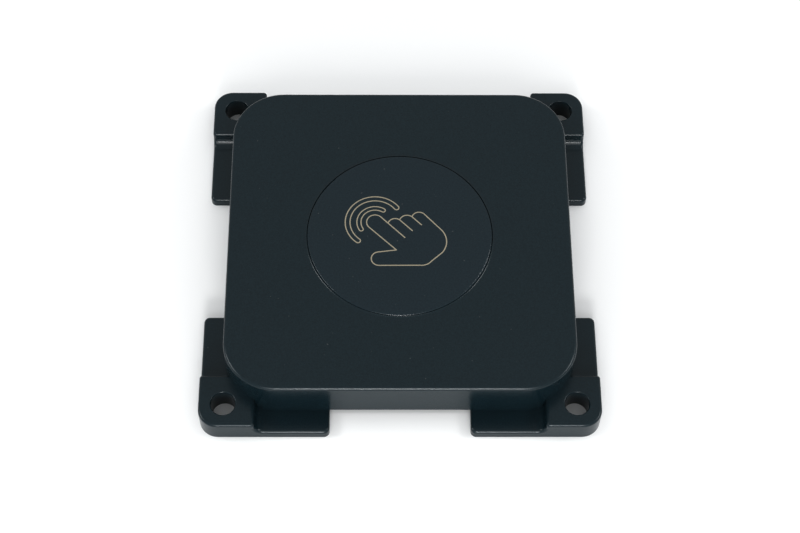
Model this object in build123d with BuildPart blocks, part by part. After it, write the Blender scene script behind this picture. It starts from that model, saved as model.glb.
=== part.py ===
from math import cos, radians, sin, sqrt
import os

from build123d import *

os.makedirs("parts", exist_ok=True)

# Ticket validator for surface mounting. The origin is at the middle of the
# mounting surface, +Z points away from it, and -Y is the side nearest the user.

# Case
body_width = 100.0
body_corner = 15.0
body_top = 16.5
roof_underside = 14.0
edge_round = 1.0
rebate_width = 95.0        # opening for the back cover
rebate_corner = 12.5
cavity_width = 91.0        # room for the electronics, above the sealing ledge
cavity_corner = 10.5
ledge = 6.4
wall_foot = 3.2            # the walls stop here between the feet

# Corner feet
plate_width = 114.0
foot_gap = 40.0
foot_depth = 13.0          # runs in under the case wall
wing_top = 3.0
lug_top = 7.4
lug_width = 16.0
lug_corner = 5.5
ramp_radius = 2.5
crown_radius = 1.0
foot_edge_round = 0.85
wing_end_round = 1.6
hole_pitch = 100.0
hole_radius = 3.5
hole_rim_round = 0.35

# Touch disc
disc_radius = 27.0
disc_top = 17.0
disc_rim = 16.9
disc_flat_radius = 23.6
disc_edge_round = 0.55
disc_gap = 0.1
collar_height = 0.18
collar_land = 0.12
collar_radius = 0.45
flange_radius = 30.0
flange_top = 13.5
flange_bottom = 12.0
skirt_inner = 24.2
disc_underside = 14.6
travel = 0.5

# Guide ribs, springs and switch
rib_inner = 29.0
rib_length = 1.6
rib_width = 2.0
spring_place = 26.8
spring_radius = 1.7
spring_wire = 0.35
spring_turns = 4
spring_cup_radius = 2.2
spring_cup_depth = 0.6
push_boss_radius = 4.0
plunger_top = 13.2
plunger_radius = 1.75
switch_height = 3.4
switch_floor = 0.7

# Tap symbol
line_width = 0.36
line_depth = 0.25
finger_x = -2.35
fingertip_y = 7.85
finger_radius = 2.45
thumb_centre = (-10.2, -1.7)
thumb_radius = 2.25
waves = ((4.7, 76, 1.2), (8.0, 97, 1.4))   # radius, half angle, band width

# Electronics
board_bottom = 7.6
board_top = 9.2
board_width = 88.0
board_corner = 6.0
antenna_width = 74.0
antenna_corner = 8.0
antenna_inner = 31.0
antenna_bottom = 13.2
coil_bottom = 13.1
ferrite_bottom = 12.8
coil_outer = 35.8
coil_turns = 4
coil_pitch = 1.05
coil_track = 0.6
board_boss_radius = 2.6
board_screw_head = 2.3
board_screw_head_height = 1.0
board_screw_depth = 4.0
controller_place = (-13.0, 8.0)
chip_width = 10.0
lead_pitch = 0.8
leads_per_side = 11
reader_place = (12.5, 10.0)
can_width = 13.0
can_height = 2.0
crystal_place = (-13.0, -1.5)
inductor_place = (12.0, -8.0)
buzzer_place = (-13.0, -10.5)
sam_bottom = 5.9
sam_card_width = 15.0
sam_card_thickness = 0.8

# Details of the small parts, in plan (length, width) unless named otherwise
switch_width = 6.0
switch_corner = 0.4
switch_pin_places = (8.0, 4.5)
switch_pin = (3.0, 0.7)
switch_pin_thickness = 0.3
plunger_play = 0.4         # under the plunger when it is fully pressed
plunger_foot_round = 0.2
coil_lead_y = 5.0
coil_corner_inset = 1.5
ferrite_inset = 0.5
ferrite_window = (13.0, 16.0)
contact_y = 5.5
contact_base_radius = 0.8
contact_base_height = 1.6
contact_pin_radius = 0.3
screw_head_round = 0.5
cross_arm = (2.4, 0.5)
cross_depth = 0.7
chip_standoff = 0.1
chip_thickness = 1.4
chip_corner = 0.3
moulded_bevel = 0.15
dimple_inset = 3.6         # from the middle of the chip, both ways
dimple_radius = 0.5
dimple_depth = 0.1
lead_width = 0.25
lead_shoulder = 0.35
lead_rise = 0.75
lead_foot = 0.7
lead_thickness = 0.2
reader_width = 5.0
reader_corner = 0.2
reader_height = 0.9
can_corner = 0.8
can_wall = 0.3
can_vent_pitch = 4.0
can_vent_radius = 0.5
crystal_size = (3.2, 2.5)
crystal_corner = 0.3
crystal_height = 0.8
inductor_width = 6.0
inductor_corner = 1.5
inductor_foot = 0.5
inductor_core_radius = 2.4
inductor_core_height = 1.8
inductor_cap = 0.6
capacitor_places = (64.0, 56.0)
capacitor_size = (4.3, 7.3)
capacitor_corner = 0.2
capacitor_height = 2.8
buzzer_radius = 5.0
buzzer_height = 3.2
buzzer_edge_round = 0.4
buzzer_hole_radius = 1.1
buzzer_hole_depth = 0.8
sam_holder_size = (29.0, 17.5)
sam_holder_corner = 0.8
sam_holder_floor = 0.4
sam_bay_x = -1.5
sam_window = (14.0, 11.0)
sam_window_x = -4.0
sam_card_length = 25.0
sam_card_x = -1.0
sam_card_corner = 1.0
sam_notch = 5.0
sam_card_play = 0.05

# Cover and its fixings
cover_width = 94.2
cover_corner = 12.1
cover_top = 5.6
fixing_pitch = 80.0        # cover screws
board_fixing = 40.5        # board screws, from the middle
boss_radius = 3.6
insert_radius = 2.1
insert_length = 5.0
cover_screw_radius = 1.5
board_screw_radius = 1.2
socket_y = -15.0
socket_length = 17.0
socket_width = 7.4
sam_y = 14.0
cover_screw_head = 2.9
cover_screw_length = 7.6
seal_inner = 88.0
pin_pitch = 2.0
pin_count = 6
pin_size = 0.5
socket_depth = 3.4
vent_place = (28.0, -6.0)
vent_hole_radius = 1.0
vent_radius = 3.0
vent_thickness = 0.3
socket_corner = 0.6
socket_wall = 0.9
key_size = (3.0, 1.2)
key_inset = 0.7
pin_start = 0.8            # pin tips, in from the mouth of the socket
pin_stub = 0.9             # pins standing out above the board
pin_bevel = 0.12
cover_bevel = 0.4
waist_height = 1.0
waist_depth = 0.3
hexagon_radius = 1.15
hexagon_depth = 1.2

plate_half = plate_width / 2
lug_inner = plate_half - lug_width
foot_start = foot_gap / 2
thumb_reach = thumb_radius / sqrt(2)
slack = 0.3                # clearance between fixed neighbours


def finish(piece, name):
    """Label a sub-part and write it to its own file."""
    piece.part.label = name
    export_step(piece.part, f"parts/{name}.step")


# ---------------------------------------------------------------- housing


def on_foot_rim(edge):
    """The upper edges along the outside of a foot."""
    middle = edge.position_at(0.5)
    along_outside = max(middle.X, middle.Y) > plate_half - 2
    across_end = min(middle.X, middle.Y) < foot_start + 1
    return edge.bounding_box().min.Z > 0.1 and (along_outside or across_end)


with BuildPart() as foot:
    # one wing and the lug in side view: wing, concave ramp, lug with a rounded crown
    with BuildSketch(Plane.XZ.offset(-plate_half)):
        with BuildLine():
            ramp_start = (lug_inner - ramp_radius, wing_top)
            ramp_end = (lug_inner, wing_top + ramp_radius)
            crown_start = (lug_inner, lug_top - crown_radius)
            crown_end = (lug_inner + crown_radius, lug_top)
            Polyline(
                ramp_start,
                (foot_start, wing_top),
                (foot_start, 0),
                (plate_half, 0),
                (plate_half, lug_top),
                crown_end,
            )
            RadiusArc(crown_end, crown_start, -crown_radius)
            Line(crown_start, ramp_end)
            RadiusArc(ramp_end, ramp_start, ramp_radius)
        make_face()
    extrude(amount=foot_depth)
    mirror(about=Plane(origin=(0, 0, 0), z_dir=(1, -1, 0)))
    # the corner of the side walls reaches down to the mounting surface
    with BuildSketch():
        RectangleRounded(body_width, body_width, body_corner)
        with Locations((foot_start, foot_start)):
            Rectangle(body_width, body_width, align=Align.MIN, mode=Mode.INTERSECT)
    extrude(amount=body_top - 2 * edge_round)
    uprights = foot.edges().filter_by(Axis.Z).filter_by(lambda e: e.bounding_box().min.Z < 0.1)
    fillet(uprights.sort_by(lambda e: e.center().X + e.center().Y)[-1], lug_corner)
    uprights = foot.edges().filter_by(Axis.Z).filter_by(lambda e: e.bounding_box().min.Z < 0.1)
    wing_ends = uprights.filter_by(
        lambda e: max(e.center().X, e.center().Y) > plate_half - 0.1
        and min(e.center().X, e.center().Y) < foot_start + 0.1
    )
    fillet(wing_ends, wing_end_round)
    fillet(foot.edges().filter_by(on_foot_rim), foot_edge_round)

with BuildPart() as housing:
    with BuildSketch(Plane.XY.offset(wall_foot)):
        RectangleRounded(body_width, body_width, body_corner)
    extrude(amount=body_top - wall_foot)
    fillet(housing.edges().group_by(Axis.Z)[-1], edge_round)
    with PolarLocations(0, 4):
        add(foot.part)
    # opening for the cover, then the narrower cavity above the sealing ledge
    with BuildSketch():
        RectangleRounded(rebate_width, rebate_width, rebate_corner)
    extrude(amount=ledge, mode=Mode.SUBTRACT)
    with BuildSketch(Plane.XY.offset(ledge)):
        RectangleRounded(cavity_width, cavity_width, cavity_corner)
    extrude(amount=roof_underside - ledge, mode=Mode.SUBTRACT)

    # opening for the touch disc, inside a low collar that keeps water out of the gap
    with BuildSketch(Plane.XZ):
        with BuildLine():
            opening = disc_radius + disc_gap
            land_end = opening + collar_land
            collar_root = land_end + collar_radius
            Polyline(
                (collar_root, body_top),
                (collar_root, body_top - 1),
                (opening, body_top - 1),
                (opening, body_top + collar_height),
                (land_end, body_top + collar_height),
            )
            ThreePointArc(
                (land_end, body_top + collar_height),
                (land_end + collar_radius * 0.4, body_top + collar_height * 0.3),
                (collar_root, body_top),
            )
        make_face()
    revolve(axis=Axis.Z)
    with BuildSketch(Plane.XY.offset(roof_underside)):
        Circle(opening)
    extrude(amount=body_top, mode=Mode.SUBTRACT)
    # two ribs keep the disc from turning
    with BuildSketch(Plane.XY.offset(flange_bottom)):
        with PolarLocations(rib_inner, 2, start_angle=45):
            Rectangle(rib_length, rib_width, align=(Align.MIN, Align.CENTER))
    extrude(amount=roof_underside - flange_bottom)
    # bosses: four for the cover, four for the board, run into the walls
    with BuildSketch(Plane.XY.offset(ledge)):
        with GridLocations(fixing_pitch, fixing_pitch, 2, 2):
            Circle(boss_radius)
    extrude(amount=roof_underside - ledge)
    with BuildSketch(Plane.XY.offset(board_top)):
        with PolarLocations(board_fixing, 4):
            Circle(board_boss_radius)
        with PolarLocations(board_fixing, 4):
            Rectangle(
                cavity_width / 2 - board_fixing + 1,
                2 * board_boss_radius - 1,
                align=(Align.MIN, Align.CENTER),
            )
    extrude(amount=roof_underside - board_top)
    with BuildSketch(Plane.XY.offset(ledge)):
        with GridLocations(fixing_pitch, fixing_pitch, 2, 2):
            Circle(insert_radius)
    extrude(amount=insert_length + 1, mode=Mode.SUBTRACT)
    with BuildSketch(Plane.XY.offset(board_top)):
        with PolarLocations(board_fixing, 4):
            Circle(board_screw_radius)
    extrude(amount=board_screw_depth, mode=Mode.SUBTRACT)
    # fixing holes through the lugs, upper rims rounded
    with BuildSketch():
        with GridLocations(hole_pitch, hole_pitch, 2, 2):
            Circle(hole_radius)
    extrude(amount=lug_top, mode=Mode.SUBTRACT)
    rims = housing.edges().filter_by(GeomType.CIRCLE).filter_by(
        lambda e: abs(e.radius - hole_radius) < 0.01 and abs(e.arc_center.Z - lug_top) < 0.01
    )
    fillet(rims, hole_rim_round)

finish(housing, "housing")

# -------------------------------------------------------------- touch disc

with BuildPart() as disc_blank:
    with BuildSketch(Plane.XZ):
        with BuildLine():
            edge_start = (disc_radius - disc_edge_round, disc_rim)
            edge_end = (disc_radius, disc_rim - disc_edge_round)
            Polyline(
                edge_end,
                (disc_radius, flange_top),
                (flange_radius, flange_top),
                (flange_radius, flange_bottom),
                (skirt_inner, flange_bottom),
                (skirt_inner, disc_underside),
                (push_boss_radius, disc_underside),
                (push_boss_radius, plunger_top),
                (0, plunger_top),
                (0, disc_top),
                (disc_flat_radius, disc_top),
                edge_start,
            )
            RadiusArc(edge_start, edge_end, disc_edge_round)
        make_face()
    revolve(axis=Axis.Z)
    # notches that run on the housing's ribs
    with BuildSketch(Plane.XY.offset(flange_bottom)):
        with PolarLocations(rib_inner - slack, 2, start_angle=45):
            Rectangle(rib_length + 1, rib_width + 2 * slack, align=(Align.MIN, Align.CENTER))
    extrude(amount=flange_top - flange_bottom, mode=Mode.SUBTRACT)
    # cups for the return springs
    with BuildSketch(Plane.XY.offset(flange_bottom)):
        with PolarLocations(spring_place, 4):
            Circle(spring_cup_radius)
    extrude(amount=spring_cup_depth, mode=Mode.SUBTRACT)

# The tap symbol is drawn in the hand's own frame: the finger points along its +Y.
symbol_plane = Plane(origin=(0, 0, disc_top), x_dir=(1, 1, 0), z_dir=(0, 0, 1))

with BuildSketch(symbol_plane) as hand:
    with BuildLine():
        tip_left = (finger_x - finger_radius, fingertip_y)
        tip_right = (finger_x + finger_radius, fingertip_y)
        crotch = (finger_x - finger_radius + 0.2, -3.2)
        knuckle_1 = (finger_x + finger_radius, 4.9)
        knuckle_2 = (3.3, 3.3)
        knuckle_3 = (6.6, 1.5)
        knuckle_4 = (9.8, -0.2)
        side_end = (9.5, -7.3)
        wrist_right = (4.2, -13.2)
        wrist_left = (-0.2, -13.0)
        thumb_heel = (-3.4, -11.6)
        thumb_low = (thumb_centre[0] - thumb_reach, thumb_centre[1] - thumb_reach)
        thumb_end = (thumb_centre[0] - thumb_reach, thumb_centre[1] + thumb_reach)
        thumb_top = (thumb_centre[0] + thumb_reach, thumb_centre[1] + thumb_reach)
        Line(crotch, tip_left)
        ThreePointArc(tip_left, (finger_x, fingertip_y + finger_radius), tip_right)
        Line(tip_right, knuckle_1)
        ThreePointArc(knuckle_1, (2.3, 4.85), knuckle_2)
        ThreePointArc(knuckle_2, (5.7, 3.1), knuckle_3)
        ThreePointArc(knuckle_3, (9.0, 1.3), knuckle_4)
        Line(knuckle_4, side_end)
        ThreePointArc(side_end, (8.2, -11.0), wrist_right)
        Line(wrist_right, wrist_left)
        ThreePointArc(wrist_left, (-2.0, -12.7), thumb_heel)
        Line(thumb_heel, thumb_low)
        ThreePointArc(thumb_low, thumb_end, thumb_top)
        Line(thumb_top, crotch)
    make_face()

with BuildSketch(symbol_plane) as symbol:
    offset(hand.sketch_local, amount=line_width / 2, mode=Mode.ADD)
    offset(hand.sketch_local, amount=-line_width / 2, mode=Mode.SUBTRACT)
    # the lines between the folded fingers
    for top, bottom in ((knuckle_1, -2.0), (knuckle_2, -1.9), (knuckle_3, -2.4)):
        with Locations((top[0], (top[1] + bottom) / 2)):
            SlotOverall(top[1] - bottom + line_width, line_width, rotation=90)
    # two waves round the fingertip, each an outlined band with round ends
    for wave_radius, half_angle, band in waves:
        wave = Edge.make_circle(
            wave_radius, Plane((finger_x, fingertip_y, 0)), 90 - half_angle, 90 + half_angle
        )
        SlotArc(wave, band + line_width)
        SlotArc(wave, band - line_width, mode=Mode.SUBTRACT)

with BuildPart() as touch_disc:
    add(disc_blank.part)
    add(symbol.sketch)
    extrude(amount=-line_depth, mode=Mode.SUBTRACT)

finish(touch_disc, "touch_disc")

with BuildPart() as symbol_fill:
    add(symbol.sketch)
    extrude(amount=-line_depth)

finish(symbol_fill, "symbol_fill")

with BuildPart() as disc_seal:
    with BuildSketch(Plane.XY.offset(flange_top)):
        Circle(rib_inner - slack)
        Circle(opening + 0.1, mode=Mode.SUBTRACT)
    extrude(amount=roof_underside - flange_top)

finish(disc_seal, "disc_seal")

with BuildPart() as return_springs:
    coil_start = board_top + spring_wire
    coil_height = flange_bottom + spring_cup_depth - board_top - 2 * spring_wire
    for quarter in range(4):
        place_x = spring_place * cos(radians(90 * quarter))
        place_y = spring_place * sin(radians(90 * quarter))
        with BuildLine(Plane((place_x, place_y, coil_start))) as coil_path:
            Helix(pitch=coil_height / spring_turns, height=coil_height, radius=spring_radius)
        with BuildSketch(Plane(coil_path.line @ 0, z_dir=coil_path.line % 0)):
            Circle(spring_wire / 2)
        sweep(path=coil_path.line, is_frenet=True)

finish(return_springs, "return_springs")

# ------------------------------------------------------------------ switch

with BuildPart() as switch_body:
    with BuildSketch(Plane.XY.offset(board_top)):
        RectangleRounded(switch_width, switch_width, switch_corner)
    extrude(amount=switch_height)
    with BuildSketch(Plane.XY.offset(board_top + switch_floor)):
        Circle(plunger_radius + 0.1)
    extrude(amount=switch_height, mode=Mode.SUBTRACT)
    # pins folded out at the four corners
    with BuildSketch(Plane.XY.offset(board_top)):
        with GridLocations(*switch_pin_places, 2, 2):
            Rectangle(*switch_pin)
    extrude(amount=switch_pin_thickness)

finish(switch_body, "switch_body")

with BuildPart() as switch_plunger:
    plunger_bottom = board_top + switch_floor + travel + plunger_play
    with BuildSketch(Plane.XY.offset(plunger_bottom)):
        Circle(plunger_radius)
    extrude(amount=plunger_top - plunger_bottom)
    fillet(switch_plunger.edges().group_by(Axis.Z)[0], plunger_foot_round)

finish(switch_plunger, "switch_plunger")

# ----------------------------------------------------------- reading field

with BuildPart() as antenna_board:
    with BuildSketch(Plane.XY.offset(antenna_bottom)):
        RectangleRounded(antenna_width, antenna_width, antenna_corner)
        Circle(antenna_inner, mode=Mode.SUBTRACT)
    extrude(amount=roof_underside - antenna_bottom)

finish(antenna_board, "antenna_board")

coil_points = [(coil_outer, coil_lead_y)]
coil_radii = []
for turn in range(coil_turns):
    reach = coil_outer - turn * coil_pitch
    inner_reach = reach - coil_pitch
    coil_points += [(reach, reach), (-reach, reach), (-reach, -reach), (inner_reach, -reach)]
    coil_radii += [antenna_corner - coil_corner_inset - turn] * 4
coil_points.append((coil_outer - coil_turns * coil_pitch, -coil_lead_y))

with BuildPart() as antenna_coil:
    with BuildSketch(Plane.XY.offset(coil_bottom)):
        with BuildLine():
            FilletPolyline(*coil_points, radius=coil_radii)
        trace(line_width=coil_track)
    extrude(amount=antenna_bottom - coil_bottom)

finish(antenna_coil, "antenna_coil")

with BuildPart() as ferrite_sheet:
    with BuildSketch(Plane.XY.offset(ferrite_bottom)):
        ferrite_width = antenna_width - 2 * ferrite_inset
        RectangleRounded(ferrite_width, ferrite_width, antenna_corner - ferrite_inset)
        Circle(antenna_inner + slack, mode=Mode.SUBTRACT)
        # window for the two contact pins
        with Locations((antenna_width / 2, 0)):
            Rectangle(*ferrite_window, mode=Mode.SUBTRACT)
    extrude(amount=coil_bottom - ferrite_bottom)

finish(ferrite_sheet, "ferrite_sheet")

with BuildPart() as antenna_contacts:
    contact_places = ((coil_outer, contact_y), (coil_outer - coil_turns * coil_pitch, -contact_y))
    with BuildSketch(Plane.XY.offset(board_top)):
        with Locations(*contact_places):
            Circle(contact_base_radius)
    extrude(amount=contact_base_height)
    with BuildSketch(Plane.XY.offset(board_top)):
        with Locations(*contact_places):
            Circle(contact_pin_radius)
    extrude(amount=coil_bottom - board_top)

finish(antenna_contacts, "antenna_contacts")

# -------------------------------------------------------------- main board

with BuildPart() as main_board:
    with BuildSketch(Plane.XY.offset(board_bottom)):
        RectangleRounded(board_width, board_width, board_corner)
        with GridLocations(fixing_pitch, fixing_pitch, 2, 2):
            Circle(boss_radius + slack, mode=Mode.SUBTRACT)
            Rectangle(2 * boss_radius, 2 * boss_radius, mode=Mode.SUBTRACT)
        with PolarLocations(board_fixing, 4):
            Circle(board_screw_radius + 0.2, mode=Mode.SUBTRACT)
        with Locations((0, socket_y)):
            with GridLocations(pin_pitch, 0, pin_count, 1):
                Circle(pin_size * 0.75, mode=Mode.SUBTRACT)
    extrude(amount=board_top - board_bottom)

finish(main_board, "main_board")

with BuildPart() as board_screws:
    with BuildSketch(Plane.XY.offset(board_bottom)):
        with PolarLocations(board_fixing, 4):
            Circle(board_screw_head)
    extrude(amount=-board_screw_head_height)
    fillet(board_screws.edges().group_by(Axis.Z)[0], screw_head_round)
    with BuildSketch(Plane.XY.offset(board_bottom)):
        with PolarLocations(board_fixing, 4):
            Circle(board_screw_radius)
    extrude(amount=board_top - board_bottom + board_screw_depth - 0.4)
    # cross recess
    with BuildSketch(Plane.XY.offset(board_bottom - board_screw_head_height)):
        with PolarLocations(board_fixing, 4):
            Rectangle(*cross_arm)
            Rectangle(*cross_arm, rotation=90)
    extrude(amount=cross_depth, mode=Mode.SUBTRACT)

finish(board_screws, "board_screws")

with BuildPart() as controller_chip:
    with BuildSketch(Plane.XY.offset(board_top + chip_standoff)):
        with Locations(controller_place):
            RectangleRounded(chip_width, chip_width, chip_corner)
    extrude(amount=chip_thickness)
    chamfer(controller_chip.edges().group_by(Axis.Z)[-1], moulded_bevel)
    # pin-one dimple
    with BuildSketch(Plane.XY.offset(board_top + chip_standoff + chip_thickness)):
        with Locations((controller_place[0] - dimple_inset, controller_place[1] + dimple_inset)):
            Circle(dimple_radius)
    extrude(amount=-dimple_depth, mode=Mode.SUBTRACT)

finish(controller_chip, "controller_chip")

with BuildPart() as controller_leads:
    with BuildSketch(Plane.YZ.offset(controller_place[0] + chip_width / 2)):
        with Locations((controller_place[1], board_top)):
            with GridLocations(lead_pitch, 0, leads_per_side, 1):
                Rectangle(lead_width, lead_rise, align=(Align.CENTER, Align.MIN))
    extrude(amount=lead_shoulder)
    with BuildSketch(Plane.YZ.offset(controller_place[0] + chip_width / 2 + lead_shoulder)):
        with Locations((controller_place[1], board_top)):
            with GridLocations(lead_pitch, 0, leads_per_side, 1):
                Rectangle(lead_width, lead_thickness, align=(Align.CENTER, Align.MIN))
    extrude(amount=lead_foot)
    one_side = controller_leads.part
    for quarter in (1, 2, 3):
        add(one_side.rotate(Axis((*controller_place, 0), (0, 0, 1)), 90 * quarter))

finish(controller_leads, "controller_leads")

with BuildPart() as reader_chip:
    with BuildSketch(Plane.XY.offset(board_top)):
        with Locations(reader_place):
            RectangleRounded(reader_width, reader_width, reader_corner)
    extrude(amount=reader_height)

finish(reader_chip, "reader_chip")

with BuildPart() as shield_can:
    with BuildSketch(Plane.XY.offset(board_top)):
        with Locations(reader_place):
            RectangleRounded(can_width, can_width, can_corner)
    extrude(amount=can_height)
    fillet(shield_can.edges().group_by(Axis.Z)[-1], can_wall)
    with BuildSketch(Plane.XY.offset(board_top)):
        with Locations(reader_place):
            can_inside = can_width - 2 * can_wall
            RectangleRounded(can_inside, can_inside, can_corner - can_wall)
    extrude(amount=can_height - can_wall, mode=Mode.SUBTRACT)
    # vent holes in the lid
    with BuildSketch(Plane.XY.offset(board_top)):
        with Locations(reader_place):
            with GridLocations(can_vent_pitch, can_vent_pitch, 3, 3):
                Circle(can_vent_radius)
    extrude(amount=can_height, mode=Mode.SUBTRACT)

finish(shield_can, "shield_can")

with BuildPart() as crystal:
    with BuildSketch(Plane.XY.offset(board_top)):
        with Locations(crystal_place):
            RectangleRounded(*crystal_size, crystal_corner)
    extrude(amount=crystal_height)

finish(crystal, "crystal")

with BuildPart() as power_inductor:
    with BuildSketch(Plane.XY.offset(board_top)):
        with Locations(inductor_place):
            RectangleRounded(inductor_width, inductor_width, inductor_corner)
    extrude(amount=inductor_foot)
    with BuildSketch(Plane.XY.offset(board_top + inductor_foot)):
        with Locations(inductor_place):
            Circle(inductor_core_radius)
    extrude(amount=inductor_core_height)
    with BuildSketch(Plane.XY.offset(board_top + inductor_foot + inductor_core_height)):
        with Locations(inductor_place):
            RectangleRounded(inductor_width, inductor_width, inductor_corner)
    extrude(amount=inductor_cap)

finish(power_inductor, "power_inductor")

with BuildPart() as capacitors:
    with BuildSketch(Plane.XY.offset(board_top)):
        with GridLocations(*capacitor_places, 2, 2):
            RectangleRounded(*capacitor_size, capacitor_corner)
    extrude(amount=capacitor_height)
    chamfer(capacitors.edges().group_by(Axis.Z)[-1], moulded_bevel)

finish(capacitors, "capacitors")

with BuildPart() as buzzer:
    with BuildSketch(Plane.XY.offset(board_top)):
        with Locations(buzzer_place):
            Circle(buzzer_radius)
    extrude(amount=buzzer_height)
    fillet(buzzer.edges().group_by(Axis.Z)[-1], buzzer_edge_round)
    with BuildSketch(Plane.XY.offset(board_top + buzzer_height)):
        with Locations(buzzer_place):
            Circle(buzzer_hole_radius)
    extrude(amount=-buzzer_hole_depth, mode=Mode.SUBTRACT)

finish(buzzer, "buzzer")

with BuildPart() as sam_holder:
    with BuildSketch(Plane.XY.offset(sam_bottom)):
        with Locations((0, sam_y)):
            RectangleRounded(*sam_holder_size, sam_holder_corner)
    extrude(amount=board_bottom - sam_bottom)
    # card bay, open to one end, with a window below it
    with BuildSketch(Plane.XY.offset(sam_bottom + sam_holder_floor)):
        with Locations((sam_bay_x, sam_y)):
            Rectangle(sam_holder_size[0], sam_card_width + slack)
    extrude(amount=sam_card_thickness + 2 * sam_card_play, mode=Mode.SUBTRACT)
    with BuildSketch(Plane.XY.offset(sam_bottom)):
        with Locations((sam_window_x, sam_y)):
            Rectangle(*sam_window)
    extrude(amount=sam_holder_floor, mode=Mode.SUBTRACT)

finish(sam_holder, "sam_holder")

with BuildPart() as sam_card:
    with BuildSketch(Plane.XY.offset(sam_bottom + sam_holder_floor + sam_card_play)):
        with Locations((sam_card_x, sam_y)):
            RectangleRounded(sam_card_length, sam_card_width, sam_card_corner)
        with Locations((sam_card_x - sam_card_length / 2, sam_y - sam_card_width / 2)):
            Rectangle(sam_notch, sam_notch, rotation=45, mode=Mode.SUBTRACT)
    extrude(amount=sam_card_thickness)

finish(sam_card, "sam_card")

# ---------------------------------------------------------- cable inlet

with BuildPart() as harness_socket:
    with BuildSketch(Plane.XY.offset(wall_foot)):
        with Locations((0, socket_y)):
            RectangleRounded(socket_length, socket_width, socket_corner)
    extrude(amount=board_bottom - wall_foot)
    with BuildSketch(Plane.XY.offset(wall_foot)):
        with Locations((0, socket_y)):
            RectangleRounded(socket_length - 2 * socket_wall, socket_width - 2 * socket_wall, slack)
        # keying slot
        with Locations((0, socket_y + socket_width / 2 - key_inset)):
            Rectangle(*key_size)
    extrude(amount=socket_depth, mode=Mode.SUBTRACT)
    with BuildSketch(Plane.XY.offset(wall_foot)):
        with Locations((0, socket_y)):
            with GridLocations(pin_pitch, 0, pin_count, 1):
                Rectangle(pin_size, pin_size)
    extrude(amount=board_bottom - wall_foot, mode=Mode.SUBTRACT)

finish(harness_socket, "harness_socket")

with BuildPart() as socket_pins:
    with BuildSketch(Plane.XY.offset(wall_foot + pin_start)):
        with Locations((0, socket_y)):
            with GridLocations(pin_pitch, 0, pin_count, 1):
                Rectangle(pin_size, pin_size)
    extrude(amount=board_top + pin_stub - wall_foot - pin_start)
    chamfer(socket_pins.edges().group_by(Axis.Z)[0], pin_bevel)

finish(socket_pins, "socket_pins")

with BuildPart() as socket_seal:
    with BuildSketch(Plane.XY.offset(cover_top)):
        with Locations((0, socket_y)):
            RectangleRounded(socket_length + 4, socket_width + 4, 2.0)
            RectangleRounded(socket_length, socket_width, socket_corner, mode=Mode.SUBTRACT)
    extrude(amount=board_bottom - cover_top)

finish(socket_seal, "socket_seal")

# ------------------------------------------------------------- back cover

with BuildPart() as back_cover:
    with BuildSketch(Plane.XY.offset(wall_foot)):
        RectangleRounded(cover_width, cover_width, cover_corner)
        with Locations((0, socket_y)):
            RectangleRounded(
                socket_length + 2 * slack,
                socket_width + 2 * slack,
                socket_corner + slack,
                mode=Mode.SUBTRACT,
            )
        with Locations(vent_place):
            Circle(vent_hole_radius, mode=Mode.SUBTRACT)
    extrude(amount=cover_top - wall_foot)
    chamfer(back_cover.faces().sort_by(Axis.Z)[0].outer_wire().edges(), cover_bevel)
    with Locations(Plane(origin=(0, 0, wall_foot), z_dir=(0, 0, -1))):
        with GridLocations(fixing_pitch, fixing_pitch, 2, 2):
            CounterSinkHole(
                cover_screw_radius + 0.15,
                cover_screw_head + 0.15,
                counter_sink_angle=90,
            )

finish(back_cover, "back_cover")

with BuildPart() as cover_seal:
    with BuildSketch(Plane.XY.offset(cover_top)):
        RectangleRounded(cover_width, cover_width, cover_corner)
        RectangleRounded(seal_inner, seal_inner, cover_corner - 3, mode=Mode.SUBTRACT)
        # ears round the cover screws
        with GridLocations(fixing_pitch, fixing_pitch, 2, 2):
            Circle(boss_radius)
            Circle(cover_screw_radius + 0.3, mode=Mode.SUBTRACT)
    extrude(amount=ledge - cover_top)

finish(cover_seal, "cover_seal")

with BuildPart() as cover_inserts:
    with BuildSketch(Plane.XY.offset(ledge)):
        with GridLocations(fixing_pitch, fixing_pitch, 2, 2):
            Circle(insert_radius)
            Circle(cover_screw_radius + 0.05, mode=Mode.SUBTRACT)
    extrude(amount=insert_length)
    # the waist between the two knurled bands
    with BuildSketch(Plane.XY.offset(ledge + (insert_length - waist_height) / 2)):
        with GridLocations(fixing_pitch, fixing_pitch, 2, 2):
            Circle(insert_radius)
            Circle(insert_radius - waist_depth, mode=Mode.SUBTRACT)
    extrude(amount=waist_height, mode=Mode.SUBTRACT)

finish(cover_inserts, "cover_inserts")

with BuildPart() as cover_screws:
    with BuildSketch(Plane.XY.offset(wall_foot)):
        with GridLocations(fixing_pitch, fixing_pitch, 2, 2):
            Circle(cover_screw_head)
    extrude(amount=cover_screw_head - cover_screw_radius, taper=45)
    with BuildSketch(Plane.XY.offset(wall_foot)):
        with GridLocations(fixing_pitch, fixing_pitch, 2, 2):
            Circle(cover_screw_radius)
    extrude(amount=cover_screw_length)
    # hexagon socket
    with BuildSketch(Plane.XY.offset(wall_foot)):
        with GridLocations(fixing_pitch, fixing_pitch, 2, 2):
            RegularPolygon(hexagon_radius, 6)
    extrude(amount=hexagon_depth, mode=Mode.SUBTRACT)

finish(cover_screws, "cover_screws")

with BuildPart() as vent_membrane:
    with BuildSketch(Plane.XY.offset(cover_top)):
        with Locations(vent_place):
            Circle(vent_radius)
    extrude(amount=vent_thickness)

finish(vent_membrane, "vent_membrane")
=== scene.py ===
import math

import bpy
from mathutils import Matrix, Vector


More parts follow.
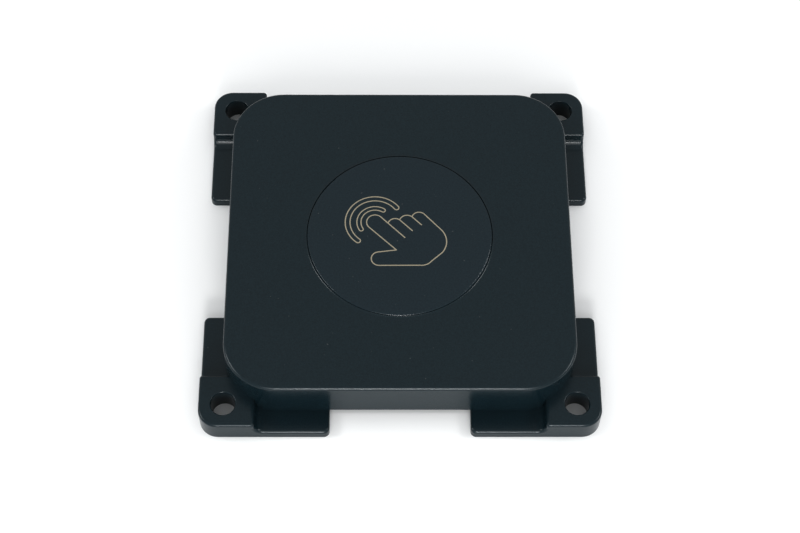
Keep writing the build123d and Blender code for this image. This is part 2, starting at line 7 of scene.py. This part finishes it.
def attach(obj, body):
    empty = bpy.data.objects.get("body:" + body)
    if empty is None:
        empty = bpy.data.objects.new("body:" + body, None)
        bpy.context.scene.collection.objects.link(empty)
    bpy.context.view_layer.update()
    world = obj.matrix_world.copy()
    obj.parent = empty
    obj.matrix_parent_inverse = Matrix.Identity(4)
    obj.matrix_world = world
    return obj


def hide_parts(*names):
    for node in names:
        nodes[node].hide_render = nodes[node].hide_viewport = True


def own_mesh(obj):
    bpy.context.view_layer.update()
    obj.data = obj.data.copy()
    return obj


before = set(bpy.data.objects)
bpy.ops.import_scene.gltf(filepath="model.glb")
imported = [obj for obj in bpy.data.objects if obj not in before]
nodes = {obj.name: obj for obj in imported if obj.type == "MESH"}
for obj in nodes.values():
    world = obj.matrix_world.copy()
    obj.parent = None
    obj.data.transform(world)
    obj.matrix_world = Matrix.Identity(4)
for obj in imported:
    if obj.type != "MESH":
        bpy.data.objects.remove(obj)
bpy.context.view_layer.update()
print("frame loaded:", len(nodes), "nodes")


class Wire:
    # a socket that works in sums: every operator adds one Math node
    def __init__(self, finish, socket):
        self.finish = finish
        self.socket = socket

    def math(self, operation, *terms):
        inputs = dict(enumerate(terms))
        return self.finish.node("Math", {"operation": operation}, inputs)

    def __add__(self, other):
        return self.math("ADD", self, other)

    __radd__ = __add__

    def __sub__(self, other):
        return self.math("SUBTRACT", self, other)

    def __mul__(self, other):
        return self.math("MULTIPLY", self, other)

    __rmul__ = __mul__

    def clamp(self):
        return self.finish.node("Clamp", {}, {"Value": self})

    def over(self, low, high):
        # 0 below low, 1 above high, a smooth step between them
        settings = {"interpolation_type": "SMOOTHSTEP"}
        return self.finish.node("MapRange", settings, {"Value": self, "From Min": low, "From Max": high})


class Finish:
    # one material: a Principled shader and the nodes that feed it
    def __init__(self, name, **shader):
        self.material = bpy.data.materials.new(name)
        self.material.use_nodes = True
        self.tree = self.material.node_tree
        self.tree.nodes.clear()
        self.output = self.tree.nodes.new("ShaderNodeOutputMaterial")
        self.shader = self.tree.nodes.new("ShaderNodeBsdfPrincipled")
        self.tree.links.new(self.shader.outputs[0], self.output.inputs["Surface"])
        self.place = None
        self.feed(shader)

    def plug(self, socket, value):
        if isinstance(value, Wire):
            self.tree.links.new(value.socket, socket)
        elif socket.type == "RGBA" and len(value) == 3:
            socket.default_value = (*value, 1.0)
        else:
            socket.default_value = value

    def node(self, kind, settings=None, inputs=None, output=0):
        made = self.tree.nodes.new("ShaderNode" + kind)
        for key, value in (settings or {}).items():
            setattr(made, key, value)
        for key, value in (inputs or {}).items():
            self.plug(made.inputs[key], value)
        return Wire(self, made.outputs[output])

    def feed(self, values):
        for key, value in values.items():
            self.plug(self.shader.inputs[key], value)

    def spot(self):
        # the point on the piece, in metres
        if self.place is None:
            self.place = self.node("TexCoord", output="Object")
        return self.place

    def noise(self, size, detail=2.0, roughness=0.5, stretch=None):
        # size is the width of one blotch, in metres
        where = self.spot()
        if stretch:
            where = self.node("VectorMath", {"operation": "MULTIPLY"}, {0: where, 1: stretch})
        inputs = {"Vector": where, "Scale": 1 / size, "Detail": detail, "Roughness": roughness}
        return self.node("TexNoise", {}, inputs)

    def mix(self, amount, first, second):
        # sockets 6 and 7 are the two colours, and output 2 the mixed one
        return self.node("Mix", {"data_type": "RGBA"}, {0: amount, 6: first, 7: second}, 2)

    def bump(self, height, depth):
        # depth is how far the surface rises where height goes from 0 to 1, in metres
        return self.node("Bump", {}, {"Height": height, "Distance": depth, "Strength": 1.0})


def dress(finish, *names):
    for name in names:
        nodes[name].material_slots[0].material = finish.material


# moulded plastic with a spark-eroded grain
def mouldedPlastic(name, look):
    finish = Finish(name, **look["shader"])
    grain = finish.noise(look["grainSize"], 3.0, 0.6)
    blotch = finish.noise(look["blotchSize"], 2.0)
    dust = finish.noise(look["dustSize"], 1.0).over(*look["dustShare"])
    tint = finish.mix(blotch, look["colour"], look["blotchColour"])
    tint = finish.mix((grain - 0.5) * look["grainTint"] + 0.5, tint, look["grainColour"])
    tint = finish.mix(dust * look["dustTint"], tint, look["dustColour"])
    rough = look["roughness"] + (blotch - 0.5) * look["roughnessSpread"]
    rough = rough + (grain - 0.5) * look["grainRoughness"]
    finish.feed({
        "Base Color": tint,
        "Roughness": rough.clamp(),
        "Normal": finish.bump(grain, look["grainDepth"]),
    })
    return finish


casePlastic = {
    "colour": (0.0040, 0.0118, 0.0160),
    "blotchColour": (0.0046, 0.0128, 0.0170),
    "blotchSize": 0.030,
    "grainColour": (0.0085, 0.0205, 0.0265),
    "grainSize": 0.00038,
    "grainTint": 2.4,
    "grainRoughness": 0.10,
    "grainDepth": 0.000016,
    "roughness": 0.23,
    "roughnessSpread": 0.06,
    "dustSize": 0.0011,
    "dustShare": (0.78, 0.82),
    "dustTint": 0.25,
    "dustColour": (0.20, 0.20, 0.19),
    "shader": {"IOR": 1.42},
}
discPlastic = dict(
    casePlastic,
    colour=(0.0062, 0.0148, 0.0195),
    blotchColour=(0.0070, 0.0158, 0.0232),
    grainColour=(0.0115, 0.0240, 0.0310),
    grainSize=0.00050,
    roughness=0.20,
)
dress(mouldedPlastic("casePlastic", casePlastic), "housing", "back_cover")
dress(mouldedPlastic("discPlastic", discPlastic), "touch_disc")
print("case and disc dressed")

inkLook = {
    "colour": (0.34, 0.30, 0.22),
    "worn": (0.25, 0.22, 0.165),
    "patchSize": 0.0012,
    "rippleSize": 0.0003,
    "rippleDepth": 0.000006,
    "shader": {"Roughness": 0.45, "IOR": 1.45},
}
ink = Finish("symbolInk", **inkLook["shader"])
ink.feed({
    "Base Color": ink.mix(ink.noise(inkLook["patchSize"], 3.0), inkLook["colour"], inkLook["worn"]),
    "Normal": ink.bump(ink.noise(inkLook["rippleSize"]), inkLook["rippleDepth"]),
})
dress(ink, "symbol_fill")

# grey silicone: matt, with the faint drag marks of the mould
def mouldedRubber(name, look):
    finish = Finish(name, **look["shader"])
    skin = finish.noise(look["skinSize"], 4.0, 0.6)
    bloom = finish.noise(look["bloomSize"], 3.0).over(*look["bloomShare"])
    tint = finish.mix(bloom * look["bloomTint"], look["colour"], look["bloomColour"])
    finish.feed({
        "Base Color": finish.mix(skin * look["skinTint"], tint, look["skinColour"]),
        "Roughness": (look["roughness"] + (skin - 0.5) * look["roughnessSpread"]).clamp(),
        "Normal": finish.bump(skin, look["skinDepth"]),
    })
    return finish


# bare metal: fine marks, and dull patches where it has been handled
def bareMetal(name, look):
    finish = Finish(name, **look["shader"])
    marks = finish.noise(look["markSize"], 4.0, 0.6, look["markStretch"])
    patches = finish.noise(look["patchSize"], 3.0).over(*look["patchShare"])
    tint = finish.mix(patches, look["colour"], look["dullColour"])
    rough = look["roughness"] + (marks - 0.5) * look["markRoughness"]
    rough = rough + patches * look["patchRoughness"]
    finish.feed({
        "Base Color": finish.mix(marks * look["markTint"], tint, look["markColour"]),
        "Roughness": rough.clamp(),
        "Normal": finish.bump(marks, look["markDepth"]),
    })
    return finish


# circuit board: green mask over a woven glass cloth
def maskedLaminate(name, look):
    finish = Finish(name, **look["shader"])
    # a wave texture of scale 1 has bands pi / 10 apart
    thread = {"Vector": finish.spot(), "Scale": math.pi / 10 / look["threadPitch"]}
    warp = finish.node("TexWave", {"bands_direction": "X"}, thread)
    weft = finish.node("TexWave", {"bands_direction": "Y"}, thread)
    cloth = warp * weft
    pooling = finish.noise(look["poolSize"], 2.0)
    tint = finish.mix(pooling, look["colour"], look["thickColour"])
    finish.feed({
        "Base Color": finish.mix(cloth * look["clothTint"], tint, look["clothColour"]),
        "Roughness": (look["roughness"] + (pooling - 0.5) * look["roughnessSpread"]).clamp(),
        "Normal": finish.bump(cloth, look["clothDepth"]),
    })
    return finish


silicone = {
    "colour": (0.22, 0.225, 0.23),
    "skinColour": (0.30, 0.30, 0.30),
    "skinSize": 0.00025,
    "skinTint": 0.4,
    "skinDepth": 0.000008,
    "bloomSize": 0.004,
    "bloomShare": (0.50, 0.75),
    "bloomTint": 0.5,
    "bloomColour": (0.33, 0.33, 0.34),
    "roughness": 0.58,
    "roughnessSpread": 0.15,
    "shader": {"IOR": 1.41},
}
dress(mouldedRubber("silicone", silicone), "disc_seal", "socket_seal", "cover_seal")
print("seals dressed")

platedSteel = {
    "colour": (0.60, 0.62, 0.63),
    "dullColour": (0.44, 0.45, 0.44),
    "markColour": (0.70, 0.71, 0.72),
    "markSize": 0.00020,
    "markStretch": (1.0, 1.0, 0.3),
    "markTint": 0.4,
    "markRoughness": 0.20,
    "markDepth": 0.000004,
    "patchSize": 0.0012,
    "patchShare": (0.50, 0.70),
    "patchRoughness": 0.12,
    "roughness": 0.30,
    "shader": {"Metallic": 1.0},
}
springSteel = dict(
    platedSteel,
    colour=(0.42, 0.42, 0.42),
    dullColour=(0.26, 0.25, 0.24),
    markColour=(0.54, 0.54, 0.54),
    markSize=0.00008,
    roughness=0.26,
)
tinnedMetal = dict(
    platedSteel,
    colour=(0.66, 0.66, 0.65),
    dullColour=(0.50, 0.50, 0.49),
    markColour=(0.74, 0.74, 0.73),
    markStretch=(1.0, 0.12, 1.0),     # rolled strip
    patchSize=0.0025,
    roughness=0.36,
)
turnedBrass = dict(
    platedSteel,
    colour=(0.66, 0.46, 0.17),
    dullColour=(0.42, 0.27, 0.10),
    markColour=(0.78, 0.58, 0.26),
    markStretch=(1.0, 1.0, 6.0),      # rings left by the cutter
    roughness=0.28,
)
etchedCopper = dict(
    platedSteel,
    colour=(0.70, 0.32, 0.18),
    dullColour=(0.44, 0.20, 0.12),
    markColour=(0.80, 0.42, 0.26),
    markSize=0.00012,
    patchSize=0.0040,
    roughness=0.40,
)
goldFlash = dict(
    platedSteel,
    colour=(0.83, 0.60, 0.22),
    dullColour=(0.66, 0.46, 0.17),
    markColour=(0.90, 0.69, 0.31),
    markSize=0.00010,
    patchSize=0.0008,
    roughness=0.22,
)
dress(bareMetal("springSteel", springSteel), "return_springs")
dress(bareMetal("platedSteel", platedSteel), "board_screws", "cover_screws")
dress(bareMetal("tinnedMetal", tinnedMetal), "controller_leads", "crystal", "shield_can")
dress(bareMetal("turnedBrass", turnedBrass), "cover_inserts")
dress(bareMetal("etchedCopper", etchedCopper), "antenna_coil")
dress(bareMetal("goldFlash", goldFlash), "antenna_contacts", "socket_pins")
print("metal dressed")

# the springs stand on the board and shorten as the disc goes down; here they become a copy with a mesh of
# its own, carried by the case
springs = bpy.data.objects.new("shortening_springs", nodes["return_springs"].data.copy())
bpy.context.scene.collection.objects.link(springs)
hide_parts("return_springs")
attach(springs, "case")
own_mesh(springs)
print("springs made")

boardGreen = {
    "colour": (0.012, 0.085, 0.038),
    "thickColour": (0.008, 0.060, 0.028),
    "clothColour": (0.030, 0.130, 0.060),
    "clothTint": 0.5,
    "clothDepth": 0.000006,
    "threadPitch": 0.0005,
    "poolSize": 0.006,
    "roughness": 0.28,
    "roughnessSpread": 0.12,
    "shader": {"IOR": 1.50},
}
dress(maskedLaminate("boardGreen", boardGreen), "main_board", "antenna_board")
print("boards dressed")

# the other moulded pieces share the case's kind of surface, each with its own grain
sinteredFerrite = dict(
    casePlastic,
    colour=(0.030, 0.030, 0.032),
    blotchColour=(0.042, 0.041, 0.042),
    grainColour=(0.075, 0.074, 0.075),
    grainSize=0.00015,
    grainDepth=0.000010,
    roughness=0.48,
    shader={"IOR": 1.80},
)
chipEpoxy = dict(
    casePlastic,
    colour=(0.018, 0.018, 0.019),
    blotchColour=(0.022, 0.022, 0.022),
    grainColour=(0.040, 0.040, 0.041),
    grainSize=0.00009,
    grainDepth=0.000006,
    roughness=0.52,
    shader={"IOR": 1.55},
)
filledNylon = dict(
    casePlastic,
    colour=(0.014, 0.014, 0.015),
    blotchColour=(0.020, 0.020, 0.021),
    grainColour=(0.045, 0.045, 0.044),
    blotchSize=0.004,
    grainSize=0.00016,
    grainDepth=0.000009,
    roughness=0.40,
    shader={"IOR": 1.53},
)
naturalAcetal = dict(
    casePlastic,
    colour=(0.66, 0.62, 0.52),
    blotchColour=(0.60, 0.56, 0.46),
    grainColour=(0.72, 0.69, 0.60),
    blotchSize=0.002,
    grainSize=0.00012,
    grainDepth=0.000004,
    roughness=0.34,
    shader={"IOR": 1.48},
)
tantalumBody = dict(
    casePlastic,
    colour=(0.46, 0.22, 0.045),
    blotchColour=(0.40, 0.185, 0.038),
    grainColour=(0.56, 0.30, 0.085),
    blotchSize=0.003,
    grainSize=0.00012,
    grainDepth=0.000006,
    roughness=0.42,
    shader={"IOR": 1.52},
)
whiteCard = dict(
    casePlastic,
    colour=(0.72, 0.72, 0.70),
    blotchColour=(0.68, 0.68, 0.66),
    grainColour=(0.78, 0.78, 0.77),
    blotchSize=0.005,
    grainSize=0.00014,
    grainDepth=0.000003,
    roughness=0.38,
    shader={"IOR": 1.49},
)
dress(mouldedPlastic("sinteredFerrite", sinteredFerrite), "ferrite_sheet", "power_inductor")
dress(mouldedPlastic("chipEpoxy", chipEpoxy), "controller_chip", "reader_chip")
dress(mouldedPlastic("filledNylon", filledNylon), "switch_body", "buzzer", "sam_holder", "harness_socket")
dress(mouldedPlastic("naturalAcetal", naturalAcetal), "switch_plunger")
dress(mouldedPlastic("tantalumBody", tantalumBody), "capacitors")
dress(mouldedPlastic("whiteCard", whiteCard), "sam_card", "vent_membrane")
print("small parts dressed")

# floor and light
studio = {
    "floorSize": 40.0,
    "floorColour": (0.86, 0.86, 0.86),
    "floorShade": (0.85, 0.85, 0.85),
    "floorPatch": 0.4,
    "floorRoughness": 0.9,
    # height of the look direction, brightness: a little brighter overhead
    "skyStops": ((0.0, 0.84), (0.25, 0.86), (0.75, 0.95)),
    "skyTint": (0.97, 0.99, 1.0),
    "skyStrength": 0.86,
    # name: place, aimed at, width, height, power, colour
    "lights": {
        "leftLamp": ((-0.75, 0.0, 0.55), (0, 0, 0), 0.40, 0.20, 2.4, (1.0, 1.0, 1.0)),
        "rightLamp": ((0.75, 0.0, 0.55), (0, 0, 0), 0.40, 0.20, 2.4, (1.0, 1.0, 1.0)),
        "frontLamp": ((0.0, -0.75, 0.55), (0, 0, 0), 0.70, 0.30, 2.0, (1.0, 1.0, 1.0)),
        "edgeLamp": ((0.0, -0.90, 0.29), (0, 0, 0), 0.30, 0.12, 5.0, (1.0, 1.0, 1.0)),
    },
}

floorMesh = bpy.data.meshes.new("floor")
half = studio["floorSize"] / 2
corners = [(-half, -half, 0), (half, -half, 0), (half, half, 0), (-half, half, 0)]
floorMesh.from_pydata(corners, [], [(0, 1, 2, 3)])
floor = bpy.data.objects.new("floor", floorMesh)
bpy.context.scene.collection.objects.link(floor)
floorFinish = Finish("floorPaper", Roughness=studio["floorRoughness"])
patch = floorFinish.noise(studio["floorPatch"])
floorFinish.feed({"Base Color": floorFinish.mix(patch, studio["floorColour"], studio["floorShade"])})
floorMesh.materials.append(floorFinish.material)

world = bpy.data.worlds.new("studio")
world.use_nodes = True
sky = world.node_tree
background = sky.nodes["Background"]
background.inputs["Strength"].default_value = studio["skyStrength"]
direction = sky.nodes.new("ShaderNodeTexCoord")
parts = sky.nodes.new("ShaderNodeSeparateXYZ")
fade = sky.nodes.new("ShaderNodeValToRGB")
sky.links.new(direction.outputs["Generated"], parts.inputs[0])
sky.links.new(parts.outputs["Z"], fade.inputs["Fac"])
sky.links.new(fade.outputs["Color"], background.inputs["Color"])
while len(fade.color_ramp.elements) < len(studio["skyStops"]):
    fade.color_ramp.elements.new(0.5)
for element, (height, level) in zip(fade.color_ramp.elements, studio["skyStops"]):
    element.position = height
    element.color = (*(level * share for share in studio["skyTint"]), 1.0)
bpy.context.scene.world = world

for name, (place, target, width, height, power, colour) in studio["lights"].items():
    lamp = bpy.data.lights.new(name, "AREA")
    lamp.shape = "RECTANGLE"
    lamp.size = width
    lamp.size_y = height
    lamp.energy = power
    lamp.color = colour
    panel = bpy.data.objects.new(name, lamp)
    panel.location = place
    panel.rotation_euler = (Vector(target) - Vector(place)).to_track_quat("-Z", "Y").to_euler()
    bpy.context.scene.collection.objects.link(panel)
print("studio lit")

# camera
shot = {
    "lens": 80.9,
    "sensor": 36.0,
    "nearest": 0.01,
    "furthest": 20.0,
    "place": (-0.005045, -0.26754, 0.466886),
    "turn": 1.133,     # degrees to the right of +Y
    "down": 60.306,    # degrees below the horizon
    "roll": 1.020,
    "gamma": 0.8,
}
turn, down, roll = (math.radians(shot[key]) for key in ("turn", "down", "roll"))
ahead = Vector((math.sin(turn) * math.cos(down), math.cos(turn) * math.cos(down), -math.sin(down)))
level = Vector((math.cos(turn), -math.sin(turn), 0))
upright = level.cross(ahead)
side = math.cos(roll) * level + math.sin(roll) * upright
above = math.cos(roll) * upright - math.sin(roll) * level
eye = bpy.data.cameras.new("camera")
eye.lens = shot["lens"]
eye.sensor_width = shot["sensor"]
eye.clip_start = shot["nearest"]
eye.clip_end = shot["furthest"]
camera = bpy.data.objects.new("camera", eye)
turned = Matrix((side, above, -ahead)).transposed().to_4x4()
camera.matrix_world = Matrix.Translation(shot["place"]) @ turned
bpy.context.scene.collection.objects.link(camera)
bpy.context.scene.camera = camera
view = bpy.context.scene.view_settings
view.view_transform = "Standard"
view.gamma = shot["gamma"]
print("camera set")
